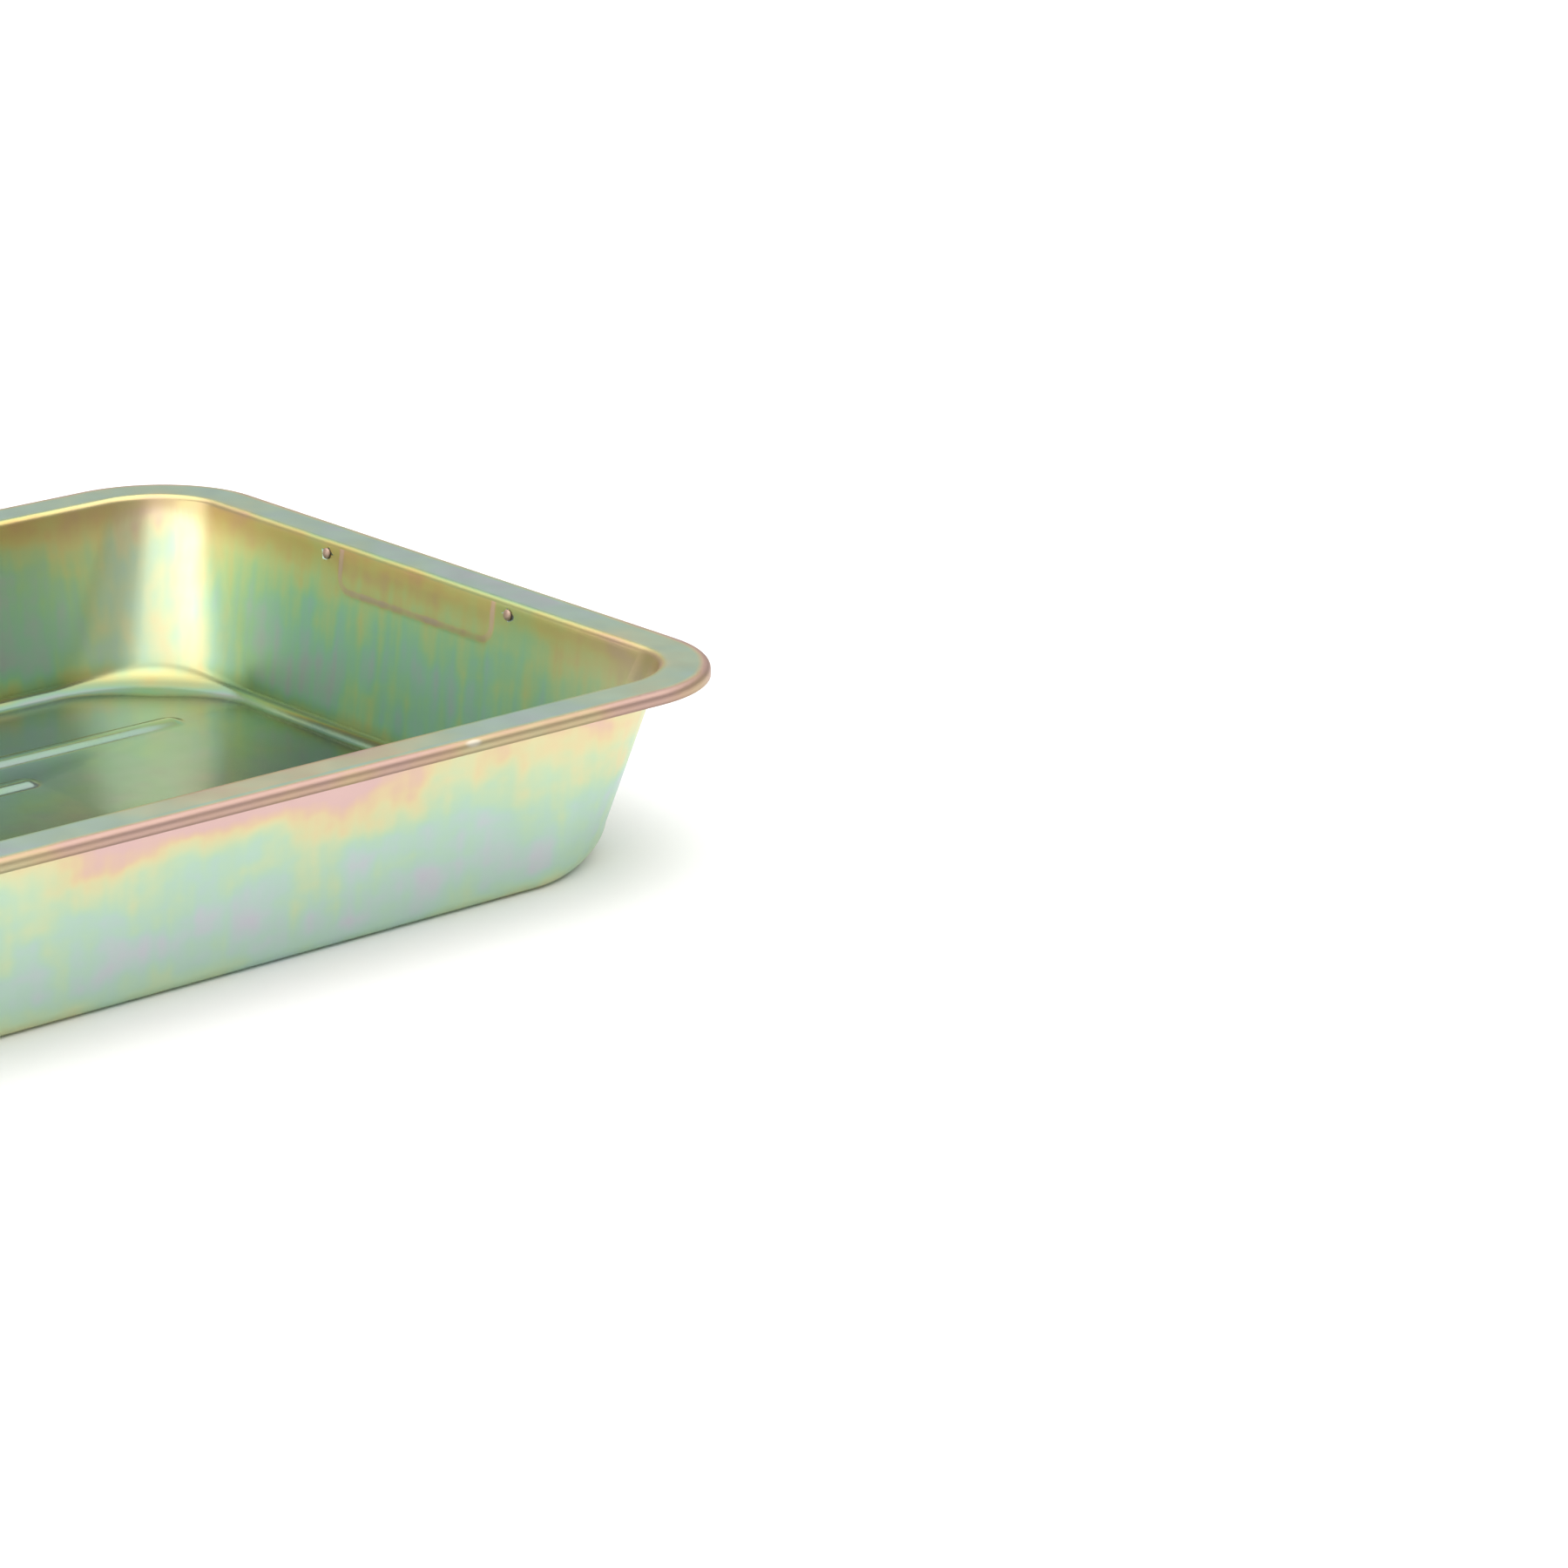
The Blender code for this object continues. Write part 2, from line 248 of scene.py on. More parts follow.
def film_colour(finish, phase):
    return finish.ramp(phase.clamped(), FILM_COLOURS, "B_SPLINE")


def grey_stops(pairs):
    """Stops of a ramp that carries a number."""
    return [(place, (number, number, number)) for place, number in pairs]


# %% Where a finish starts and stops
WALL_ABOVE_FLOOR = (0.002, 0.008)
WALL_PAST_SHOULDER = (0.0145, 0.0180)


def on_wall(finish):
    """1 on the walls, 0 on the flange and the floor."""
    up = finish.attribute("above_floor").ease(*WALL_ABOVE_FLOOR)
    return up * finish.attribute("rim_inset").ease(*WALL_PAST_SHOULDER)


def drop_share(finish):
    """How far down the tray a point lies: 0 at the rim, 1 at the underside."""
    return (HEIGHT - finish.z) * (1 / HEIGHT)


def peak_along(finish, x, fall, full):
    """1 at one place along the tray, fading out to both sides; it falls by `fall` in each metre."""
    return (1 - ((finish.x - x) * fall).size()).ease(0.0, full)


def blush(finish):
    """1 along the stretch under the rim where the film is thickest."""
    return peak_along(finish, 0.035, 12.0, 0.75)


# %% Noise in the film
def film_noise(finish, seed, drift_share, patch_share, streak_share):
    """The uneven part of the film's phase: broad drifts, cloudy patches, and streaks down the walls."""
    offset = (seed, seed * 0.7, seed * 1.3)
    drift = finish.noise((16.0, 16.0, 40.0), 2.0, 0.5, offset)
    patches = finish.noise((55.0, 55.0, 85.0), 2.0, 0.55, offset)
    streaks = finish.noise((190.0, 190.0, 13.0), 1.0, 0.5, offset) * on_wall(finish)
    return drift * drift_share + patches * patch_share + streaks * streak_share


# %% [markdown]
# ### The sheet's surface
# Pressed sheet isn't a mirror. It keeps fine lines where the die dragged it down the walls, and it is never
# quite flat, so reflections waver. Both are far too small to model, so a bump carries them: the lines are a
# few thousandths of a millimetre deep, the waviness a tenth. The die doesn't drag on the floor or the
# flange, so the lines fade out there.

# %% Die lines and waviness
SHEET_BUMP_DEPTH = 0.00012


def sheet_bump(finish):
    lines = finish.noise((300.0, 300.0, 7.0), 0.0, 0.5) * on_wall(finish)
    grain = finish.noise((800.0, 800.0, 800.0), 1.0, 0.5)
    waves = finish.noise((17.0, 17.0, 17.0), 2.0, 0.45)
    height = lines * 0.030 + grain * 0.001 + waves
    finish.use(finish.bump(height, SHEET_BUMP_DEPTH), "Normal")


# %% [markdown]
# ### Outside of the pan
# The plating drains as the tray is lifted from its bath, so the film is thick under the rim and thin below
# it. A ramp on the height gives that order, the noise breaks it up, and one stretch near the middle is
# pinkest. The outside is rubbed in stacking, so its colours are mixed with a little plain grey.

# %% Finish of the outside of the pan
RUBBED_GREY = (0.60, 0.58, 0.58, 1.0)


def outside_finish():
    finish = Finish("yellow_zinc_outside", Metallic=0.93, IOR=1.5)
    drop = drop_share(finish)
    under_rim = finish.ramp(drop.clamped(), grey_stops([
        (0.00, 0.70), (0.15, 0.70), (0.27, 0.64), (0.38, 0.46), (0.55, 0.28), (0.80, 0.34), (1.00, 0.50)]))
    top_band = 1 - drop.ease(0.17, 0.36)
    phase = under_rim + blush(finish) * top_band * 0.40 + film_noise(finish, 3.1, 0.75, 0.70, 0.34)
    finish.use(finish.mix(0.22, film_colour(finish, phase), RUBBED_GREY), "Base Color")
    finish.use((0.42 + finish.noise((120.0, 120.0, 30.0), 3.0) * 0.16).clamped(), "Roughness")
    sheet_bump(finish)
    return finish.material


# %% [markdown]
# ### Inside of the pan
# The upper face runs from the lip over the flange and down into the tray, and the film differs on each
# stretch. Height alone can't tell the lip from the wall, so the mesh carries three measurements on its
# points: the inset from the rim's outline, the height above the floor, and the distance from the pressed
# panel's outline. The finish also darkens the lip, the shoulder, the walls, the foot and the floor with
# painted shade, and lays a painted highlight in the corners.

# %% Where the film changes inside
RIM_BAND = 0.016


def corner_highlight_zone(finish):
    """1 in the corners, where a painted highlight brightens and tints the walls."""
    on_wall = finish.attribute("above_floor").ease(0.003, 0.012)
    return finish.x.size().ease(0.122, 0.166) * finish.y.size().ease(0.048, 0.108) * on_wall


def panel_outline(finish):
    """1 along the outline of the pressed panel, stronger in some places than in others."""
    wander = finish.noise((60.0, 60.0, 60.0), 2.0) * 1.6 + 0.75
    return (1 - (finish.attribute("panel_gap") + 0.0003).size().ease(0.0004, 0.0016)) * wander.clamped()


# %% Thickness of the film inside
def rim_phase(finish, inset):
    """The film from the lip's edge over the flange to the shoulder: pink lip, pale flange, straw shoulder."""
    rim = finish.ramp((inset * (1 / RIM_BAND)).clamped(), grey_stops([
        (0.00, 0.72), (0.07, 0.84), (0.14, 0.66), (0.24, 0.26), (0.70, 0.30), (0.82, 0.38), (0.90, 0.64),
        (1.00, 0.66)]))
    rim = rim + blush(finish) * (1 - inset.ease(0.0014, 0.0028)) * 0.26
    return rim + peak_along(finish, 0.045, 13.0, 0.7) * inset.ease(0.0028, 0.005) * 0.46


def inside_phase(finish):
    inset = finish.attribute("rim_inset")
    above_floor = finish.attribute("above_floor")
    rim = rim_phase(finish, inset)
    wall = finish.ramp(drop_share(finish).clamped(), grey_stops([
        (0.00, 0.66), (0.08, 0.68), (0.17, 0.60), (0.30, 0.44), (0.50, 0.33), (1.00, 0.31)]))
    phase = rim + (wall - rim) * inset.ease(0.0140, 0.0158)
    low_band = (1 - above_floor.ease(0.006, 0.016)) * above_floor.ease(0.001, 0.004)
    phase = phase + finish.y.ease(0.085, 0.115) * low_band * 0.16 - finish.y * 0.60 * inset.ease(0.016, 0.020)
    # The film's phase is raised in the corners too, under the painted highlight.
    phase = phase + corner_highlight_zone(finish) * 0.14
    phase = phase + (1 - above_floor.ease(0.003, 0.010)) * above_floor.ease(0.0005, 0.002) * 0.22
    inside = 1 - finish.attribute("panel_gap").ease(-0.002, 0.0)
    return phase + panel_outline(finish) * 0.30 + inside * 0.08


# %% Finish of the inside of the pan
WHITE = (1.0, 1.0, 1.0, 1.0)
DULL_FLANGE = (0.70, 0.71, 0.67, 1.0)
# Painted highlight: a bright cream laid over the walls in the corners.
CORNER_HIGHLIGHT = (0.90, 0.86, 0.68, 1.0)
# Painted shade: darkens the walls away from the corners.
WALL_PAINTED_SHADE = (0.80, 0.84, 0.78, 1.0)
# Painted shade: dims the bright line along the shoulder.
SHOULDER_PAINTED_SHADE = (0.72, 0.69, 0.50, 1.0)
# Painted shade: dims the fillet at the wall's foot.
FOOT_PAINTED_SHADE = (0.66, 0.62, 0.50, 1.0)
# Painted shade: darkens the whole floor of the pan.
FLOOR_PAINTED_SHADE = (0.37, 0.37, 0.34, 1.0)
# Painted shade: dims the bright crease along the lip.
LIP_PAINTED_SHADE = (0.66, 0.57, 0.50, 1.0)
BARE_ZINC = (0.80, 0.78, 0.74, 1.0)
# Painted light: a light pink that lifts the dark line along the pressed panel's edge.
PANEL_OUTLINE_PAINTED_LIGHT = (0.86, 0.66, 0.52, 1.0)
NICK_PLACE = (0.0985, -0.1448, HEIGHT - 0.0006)
NICK_STRETCH = (0.45, 1.0, 1.0)


def inside_finish():
    finish = Finish("yellow_zinc_inside", Metallic=0.96, IOR=1.5)
    inset = finish.attribute("rim_inset")
    above_floor = finish.attribute("above_floor")
    film = film_colour(finish, inside_phase(finish) + film_noise(finish, 7.7, 0.50, 0.50, 0.66))
    in_well = inset.ease(0.0122, 0.0140)
    at_lip = 1 - inset.ease(0.0016, 0.0032)
    at_shoulder = in_well * (1 - inset.ease(0.0152, 0.0168))
    at_foot = 1 - above_floor.ease(0.002, 0.009)
    on_floor = 1 - above_floor.ease(0.0020, 0.0048)
    corner = corner_highlight_zone(finish)
    film = finish.mix((1 - in_well) * 0.36, film, DULL_FLANGE)
    # Painted highlight: the corners' walls are mixed towards a bright cream.
    film = finish.mix(corner * in_well * 0.30, film, CORNER_HIGHLIGHT)
    # Painted shade: the walls away from the corners, the shoulder, the foot, the floor and the lip are each
    # multiplied by a darker tone.
    painted_shade = WHITE
    for share, colour in (
            ((1 - corner) * in_well * 0.40, WALL_PAINTED_SHADE),
            (at_shoulder * 0.8, SHOULDER_PAINTED_SHADE),
            (at_foot * 0.85, FOOT_PAINTED_SHADE),
            (on_floor * 0.95, FLOOR_PAINTED_SHADE),
            (at_lip * 0.9, LIP_PAINTED_SHADE)):
        painted_shade = finish.mix(share, painted_shade, colour)
    # The film times its painted shade; the nick of bare zinc is mixed in next.
    shaded_and_nicked = finish.mix(1.0, film, painted_shade, "MULTIPLY")
    nick = 1 - finish.distance(NICK_STRETCH, NICK_PLACE).ease(0.0006, 0.0016)
    shaded_and_nicked = finish.mix(nick * 0.45, shaded_and_nicked, BARE_ZINC)
    # Painted light along the panel's outline, on top of the film's own pink shift there.
    finish.use(finish.mix(panel_outline(finish) * 0.40, shaded_and_nicked, PANEL_OUTLINE_PAINTED_LIGHT), "Base Color")
    rough = finish.noise((120.0, 120.0, 30.0), 3.0) * 0.10 + 0.335
    rough = rough - on_floor * 0.145 + at_lip * 0.165 + at_shoulder * 0.065
    finish.use(rough.clamped(), "Roughness")
    sheet_bump(finish)
    return finish.material


# %% [markdown]
# ## The pan
# The pan could be a box with bevelled edges, but its corners open out towards the foot and its floor turns
# up into a ramp, which a bevel can't follow. So its upper face is lofted instead: closed rings, each a
# rounded rectangle, run from the lip's free edge over the flange and down the wall. `bridge_loops` could
# skin each pair, but it guesses which points belong together, and guesses wrong where two rings lie half a
# millimetre apart. So one ring is extruded again and again, and each new point moves to its own place in
# the next ring.

# %% Height of the floor
def floor_height(x):
    """Height of the floor's upper face: level in the well, an arc at the bend, then the ramp."""
    if x >= RAMP_FOOT_X:
        return SHEET
    run = min(RAMP_FOOT_X - x, RAMP_BEND_R * math.sin(RAMP_ANGLE))
    arc_rise = RAMP_BEND_R - math.sqrt(RAMP_BEND_R ** 2 - run ** 2)
    ramp_run = max(RAMP_BEND_END_X - x, 0.0)
    return SHEET + arc_rise + ramp_run * math.tan(RAMP_ANGLE)


# %% Stations round a ring
def side_stations():
    """Places along a long side where every ring has a point, from the ramp's top to the well."""
    bend_run = RAMP_FOOT_X - RAMP_BEND_END_X
    return [RAMP_BEND_END_X + bend_run * i / RAMP_BEND_STEPS for i in range(RAMP_BEND_STEPS + 1)]


def ring_stations():
    """Stations round the tray, as (x side, y side, angle) in a corner and (None, y side, x) along a side."""
    stations = []
    corners = [(1, 1), (-1, 1), (-1, -1), (1, -1)]
    for quarter, (x_side, y_side) in enumerate(corners):
        for step in range(CORNER_STEPS + 1):
            angle = math.pi / 2 * (quarter + step / CORNER_STEPS)
            stations.append((x_side, y_side, angle))
        if quarter == 0:
            stations += [(None, 1, x) for x in reversed(side_stations())]
        if quarter == 2:
            stations += [(None, -1, x) for x in side_stations()]
    return stations


STATIONS = ring_stations()
print(len(STATIONS), "points in each ring of the pan")


# %% Rings of the flange and the foot
def plan_point(station, inset, radius):
    """Point of a rounded rectangle that lies inset inside the rim's outline."""
    x_side, y_side, along = station
    if x_side is None:
        return along, y_side * (HALF_WIDTH - inset)
    centre_x = x_side * (HALF_LENGTH - inset - radius)
    centre_y = y_side * (HALF_WIDTH - inset - radius)
    return centre_x + radius * math.cos(along), centre_y + radius * math.sin(along)


def level_ring(inset, z):
    """Ring of the flange, lip or shoulder, at one height."""
    return [Vector((*plan_point(s, inset, RIM_CORNER_R - inset), z)) for s in STATIONS]


def fillet_radius(station):
    """Radius of the fillet at the wall's foot: small along the sides, larger in the corners."""
    x_side, _, along = station
    if x_side is None:
        return FILLET_R
    return FILLET_R + (CORNER_FILLET_R - FILLET_R) * math.sin(2 * along) ** 2


def foot_ring(angle, further=0.0):
    """Ring of the fillet between wall and floor; its angle runs from the draft to 90 degrees."""
    ring = []
    for station in STATIONS:
        fillet = fillet_radius(station)
        x = plan_point(station, WALL_INSET, RIM_CORNER_R)[0]
        for _ in range(6):
            base = floor_height(x)
            wall_z = base + fillet * (1 - math.sin(DRAFT))
            depth = HEIGHT - wall_z
            wall_inset = WALL_INSET + depth * math.tan(DRAFT)
            inset = wall_inset + fillet * (math.cos(DRAFT) - math.cos(angle)) + further
            grown = (FOOT_CORNER_R - RIM_CORNER_R + FLANGE) * depth / HEIGHT
            radius = RIM_CORNER_R - FLANGE + grown - (inset - wall_inset)
            x, y = plan_point(station, inset, radius)
        ring.append(Vector((x, y, floor_height(x) + fillet * (1 - math.sin(angle)))))
    return ring


def fractions(steps):
    return [i / steps for i in range(steps + 1)]


# %% All rings, from the lip's free edge to the floor
def pan_rings():
    rings = [level_ring(0.0, HEIGHT - LIP_DROP)]
    for part in fractions(5):
        turn = part * math.pi / 2
        inset = CREASE_R * (1 - math.cos(turn))
        rings.append(level_ring(inset, HEIGHT - CREASE_R * (1 - math.sin(turn))))
    rings.append(level_ring(CREASE_R + SUPPORT, HEIGHT))
    rings.append(level_ring(FLANGE - SUPPORT, HEIGHT))
    for part in fractions(6):
        turn = part * WALL_TILT
        inset = FLANGE + SHOULDER_R * math.sin(turn)
        rings.append(level_ring(inset, HEIGHT - SHOULDER_R * (1 - math.cos(turn))))
    for part in fractions(9):
        rings.append(foot_ring(DRAFT + part * WALL_TILT))
    rings.append(foot_ring(math.pi / 2, SUPPORT))
    return rings


# %% [markdown]
# ## Beads
# The floor is stiffened by long pressed beads with round ends. Each is a stadium that shrinks as it rises,
# and a cosine profile makes it leave the floor with no kink, so that its highlight fades out softly.

# %% Loft rings by extruding an edge loop
def add_loop(bm, points):
    verts = [bm.verts.new(p) for p in points]
    return verts, [bm.edges.new((verts[i - 1], verts[i])) for i in range(len(verts))]


def extrude_ring(bm, edges):
    """Extrude a ring of edges once and return the new ring's points, as a set, and its edges."""
    made = bmesh.ops.extrude_edge_only(bm, edges=edges)["geom"]
    verts = {item for item in made if isinstance(item, bmesh.types.BMVert)}
    return verts, [item for item in made
                   if isinstance(item, bmesh.types.BMEdge) and verts.issuperset(item.verts)]


def loft(bm, rings):
    """Skin a stack of rings; return the first ring's edges, and the last ring's points in order and edges."""
    station = bm.verts.layers.int.get("station") or bm.verts.layers.int.new("station")
    verts, first_edges = add_loop(bm, rings[0])
    for place, vert in enumerate(verts):
        vert[station] = place
    edges = first_edges
    for ring in rings[1:]:
        verts, edges = extrude_ring(bm, edges)
        for vert in verts:
            vert.co = ring[vert[station]]
    return first_edges, sorted(verts, key=lambda vert: vert[station]), edges


# %% One bead
def bead_outline(tip_x, foot_x, y, half_width, rise):
    """Stadium that runs along X on the floor, lifted by rise."""
    points = []
    for end_x, start in ((tip_x, -math.pi / 2), (foot_x, math.pi / 2)):
        inward = -BEAD_HALF_WIDTH if end_x == tip_x else BEAD_HALF_WIDTH
        for part in fractions(BEAD_END_STEPS):
            turn = start + part * math.pi
            x = end_x + inward + half_width * math.cos(turn)
            points.append(Vector((x, y + half_width * math.sin(turn), floor_height(x) + rise)))
    return points


def add_bead(bm, tip_x, foot_x, y):
    """Raise one bead and return the edges of its outline on the floor."""
    rings = []
    for part in fractions(BEAD_PROFILE_STEPS):
        width = BEAD_HALF_WIDTH * (1 - 0.93 * part)
        rise = BEAD_RISE * (1 - math.cos(part * math.pi)) / 2
        rings.append(bead_outline(tip_x, foot_x, y, width, rise))
    outline_edges, crest, _ = loft(bm, rings)
    bm.faces.new(crest)
    return outline_edges


# %% Where the beads lie
def floor_beads():
    """The outer pair is longest, and the tips step back inwards."""
    beads = []
    for row in range(FLOOR_BEADS_PER_SIDE):
        for side in (-1, 1):
            beads.append((BEAD_TIP_X - row * BEAD_TIP_STEP, FLOOR_BEAD_FOOT_X,
                          side * (BEAD_OUTER_Y - row * BEAD_PITCH)))
    return beads


def ramp_beads():
    return [(*RAMP_BEAD_X, side * (BEAD_OUTER_Y - row * BEAD_PITCH))
            for row in range(RAMP_BEADS_PER_SIDE) for side in (-1, 1)]


# %% Fill the floor round its beads
def close_floor(bm, edge_verts):
    """Fill the well floor, the bend and the ramp inside the ring at the floor's edge."""
    count = CORNER_STEPS + 1
    bend = RAMP_BEND_STEPS + 1
    back = edge_verts[count:count + bend]
    front = edge_verts[3 * count + bend:3 * count + 2 * bend][::-1]
    cross = [bm.edges.new(pair) for pair in zip(back, front)]
    for left, right in zip(cross, cross[1:]):
        bmesh.ops.contextual_create(bm, geom=[left, right])
    around = len(edge_verts)
    loop_edges = [bm.edges.get((edge_verts[i - 1], edge_verts[i])) for i in range(around)]
    middle = [sum((v.co for v in e.verts), Vector()).x / 2 for e in loop_edges]
    well = [e for e, x in zip(loop_edges, middle) if x > RAMP_FOOT_X] + [cross[0]]
    ramp = [e for e, x in zip(loop_edges, middle) if x < RAMP_BEND_END_X] + [cross[-1]]
    for border, beads in ((well, floor_beads()), (ramp, ramp_beads())):
        for tip_x, foot_x, y in beads:
            border += add_bead(bm, tip_x, foot_x, y)
        bmesh.ops.triangle_fill(bm, use_beauty=True, edges=border)


# %% [markdown]
# ## The pressed panel
# Between the two rivets the end wall carries a shallow pressed panel, where the sheet is backed by the
# hinge leaf. It is too faint for a separate piece, so the wall is cut into a fine grid there and each point
# moves inwards by a sixth of a millimetre, with a soft edge.

# %% Size of the panel
PANEL_HALF_WIDTH = 0.038
PANEL_FOOT = 0.0140
PANEL_CORNER_R = 0.005
PANEL_RISE = 0.00016
PANEL_EDGE = 0.0014
PANEL_TOP_CLEAR = 0.0015
PANEL_TOP_FADE = 0.003
PANEL_CUTS_ACROSS = 95
PANEL_CUTS_DOWN = 47
LONG_EDGE = 0.1
TALL_EDGE = 0.03
END_WALL_X = HALF_LENGTH - WALL_INSET - 0.012


def panel_distance(y, down):
    """Distance outside the panel's outline, negative inside it; the panel is open at the top."""
    across = abs(y) - PANEL_HALF_WIDTH + PANEL_CORNER_R
    below = down - PANEL_FOOT + PANEL_CORNER_R
    outside = math.hypot(max(across, 0.0), max(below, 0.0))
    return outside + min(max(across, below), 0.0) - PANEL_CORNER_R


def press_panel(bm):
    """Refine the deep end wall and raise the panel on it."""
    straight = HALF_WIDTH - RIM_CORNER_R

    def on_end_wall(vert):
        return vert.co.x > END_WALL_X and abs(vert.co.y) < straight + 0.001 and vert.co.z < HEIGHT - 0.001

    long_edges = [e for e in bm.edges if all(on_end_wall(v) for v in e.verts)
                  and abs(e.verts[0].co.y - e.verts[1].co.y) > LONG_EDGE]
    bmesh.ops.subdivide_edges(bm, edges=long_edges, cuts=PANEL_CUTS_ACROSS, use_grid_fill=True)
    tall_edges = [e for e in bm.edges if all(on_end_wall(v) for v in e.verts)
                  and abs(e.verts[0].co.z - e.verts[1].co.z) > TALL_EDGE and abs(e.verts[0].co.y) < straight]
    bmesh.ops.subdivide_edges(bm, edges=tall_edges, cuts=PANEL_CUTS_DOWN, use_grid_fill=True)
    inward = Vector((-math.cos(DRAFT), 0, math.sin(DRAFT)))
    for vert in bm.verts:
        if on_end_wall(vert) and vert.co.z > HEIGHT / 2:
            share = 0.5 - panel_distance(vert.co.y, HEIGHT - vert.co.z) / PANEL_EDGE
            share = min(max(share, 0.0), 1.0)
            fade = min(max((HEIGHT - vert.co.z - PANEL_TOP_CLEAR) / PANEL_TOP_FADE, 0.0), 1.0)
            vert.co += inward * PANEL_RISE * share * share * (3 - 2 * share) * fade


# %% [markdown]
# ## Measurements that ride on the mesh
# A shader can ask a mesh for a number that was stored on its points. Three are worked out here, once, where
# the geometry is known: it is far simpler than rebuilding the tray's outline out of Math nodes.

# %% Store the three measurements
def rim_inset(place):
    """How far a point lies inside the rim's outline, seen from above."""
    across = abs(place.x) - HALF_LENGTH + RIM_CORNER_R
    along = abs(place.y) - HALF_WIDTH + RIM_CORNER_R
    outside = math.hypot(max(across, 0.0), max(along, 0.0))
    return RIM_CORNER_R - outside - min(max(across, along), 0.0)


FAR_FROM_PANEL = 0.1


def store_measurements(bm):
    names = ("rim_inset", "above_floor", "panel_gap")
    inset, above, gap = (bm.verts.layers.float.new(name) for name in names)
    for vert in bm.verts:
        vert[inset] = rim_inset(vert.co)
        vert[above] = max(vert.co.z - floor_height(vert.co.x), 0.0)
        on_end_wall = vert.co.x > END_WALL_X and vert.co.z > SHEET * 2
        vert[gap] = panel_distance(vert.co.y, HEIGHT - vert.co.z) if on_end_wall else FAR_FROM_PANEL


# %% Turn a bmesh into an object
def add_piece(name, bm, *materials, smooth=True):
    mesh = bpy.data.meshes.new(name)
    bm.to_mesh(mesh)
    bm.free()
    if smooth:
        mesh.shade_smooth()
    for material in materials:
        mesh.materials.append(material)
    piece = bpy.data.objects.new(name, mesh)
    bpy.context.scene.collection.objects.link(piece)
    return piece


def add_sheet(piece, thickness, offset):
    wall = piece.modifiers.new("wall", "SOLIDIFY")
    wall.thickness = thickness
    wall.offset = offset
    wall.use_even_offset = True
    return wall


# %% [markdown]
# ## Rivet holes
# The rivets pass through the pan and the hinge leaf, so both sheets get a clearance hole. A boolean is the
# plain tool for a punched hole. Its cutters would be stray pieces afterwards, so the cut is made final and
# they go.

# %% Where the rivets are
GAP = 0.0003
RIVET_Y = 0.045
RIVET_DOWN = 0.0039
RIVET_SHANK_R = 0.0011
RIVET_HEAD_R = 0.0017
RIVET_HEAD_RISE = 0.0008


def wall_normal():
    """Outward normal of the deep end wall."""
    return Vector((math.cos(DRAFT), 0, -math.sin(DRAFT)))


def wall_point(down, out):
    """Point at Y = 0, down the deep end wall from the rim plane and out from the wall's inner face."""
    top = Vector((HALF_LENGTH - WALL_INSET, 0, HEIGHT))
    slope = Vector((-math.sin(DRAFT), 0, -math.cos(DRAFT)))
    return top + slope * down + wall_normal() * out


def rivet_frame(y):
    """Frame on the wall's inner face at a rivet: X out through the wall, Y along it, Z up it."""
    out = wall_normal()
    rows = Matrix((out, Vector((0, 1, 0)), out.cross(Vector((0, 1, 0))))).transposed()
    return Matrix.Translation(wall_point(RIVET_DOWN, 0.0) + Vector((0, y, 0))) @ rows.to_4x4()


# %% Punch the holes and make the modifiers final
def settle(piece):
    """Turn a piece's modifiers into plain mesh."""
    depsgraph = bpy.context.evaluated_depsgraph_get()
    settled = bpy.data.meshes.new_from_object(piece.evaluated_get(depsgraph), preserve_all_data_layers=True,
                                              depsgraph=depsgraph)
    piece.modifiers.clear()
    piece.data = settled


def punch_holes(piece):
    cutters = []
    for y in (-RIVET_Y, RIVET_Y):
        bm = bmesh.new()
        place = rivet_frame(y) @ Matrix.Rotation(math.pi / 2, 4, "Y")
        bmesh.ops.create_cone(bm, cap_ends=True, segments=36, radius1=RIVET_SHANK_R + GAP,
                              radius2=RIVET_SHANK_R + GAP, depth=0.012, matrix=place)
        cutter = add_piece("hole_cutter", bm, smooth=False)
        hole = piece.modifiers.new("rivet_hole", "BOOLEAN")
        hole.operation = "DIFFERENCE"
        hole.object = cutter
        cutters.append(cutter)
    settle(piece)
    for cutter in cutters:
        bpy.data.objects.remove(cutter, do_unlink=True)


# %% [markdown]
# ## The pan's skin
# Rings, floor, beads and panel are one bmesh by now, and it is still a single face thick. Its normals are
# made to agree first and turned upwards, because Solidify grows the sheet downwards from them. The new
# lower face takes the second material, so the inside and the outside of one sheet can differ.

# %% Join the rings, floor and panel into the pan
def make_pan():
    bm = bmesh.new()
    _, floor_edge, _ = loft(bm, pan_rings())
    close_floor(bm, floor_edge)
    press_panel(bm)
    store_measurements(bm)
    bmesh.ops.recalc_face_normals(bm, faces=bm.faces)
    bm.normal_update()
    if max(bm.faces, key=lambda face: face.calc_area()).normal.z < 0:
        bmesh.ops.reverse_faces(bm, faces=bm.faces)
    pan = add_piece("pan_skin", bm, inside_finish(), outside_finish())
    wall = add_sheet(pan, SHEET, -1.0)
    wall.material_offset = 1
    wall.material_offset_rim = 1
    punch_holes(pan)
    return pan


pan = make_pan()
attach(pan, "tray")
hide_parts("tray_pan")
print("pan skin:", len(pan.data.polygons), "faces,", len(pan.data.attributes), "attributes")

# %% [markdown]
# ## Finish of the hardware
# The leaf and the wire are plain bright zinc: a cool grey with a fine crystal grain. The leaf is rolled
# strip, so its scratches run along Y. The wire is drawn through a die, so its lines run along its length.
# The rivet heads are hammered, so their plating is worn and browned.

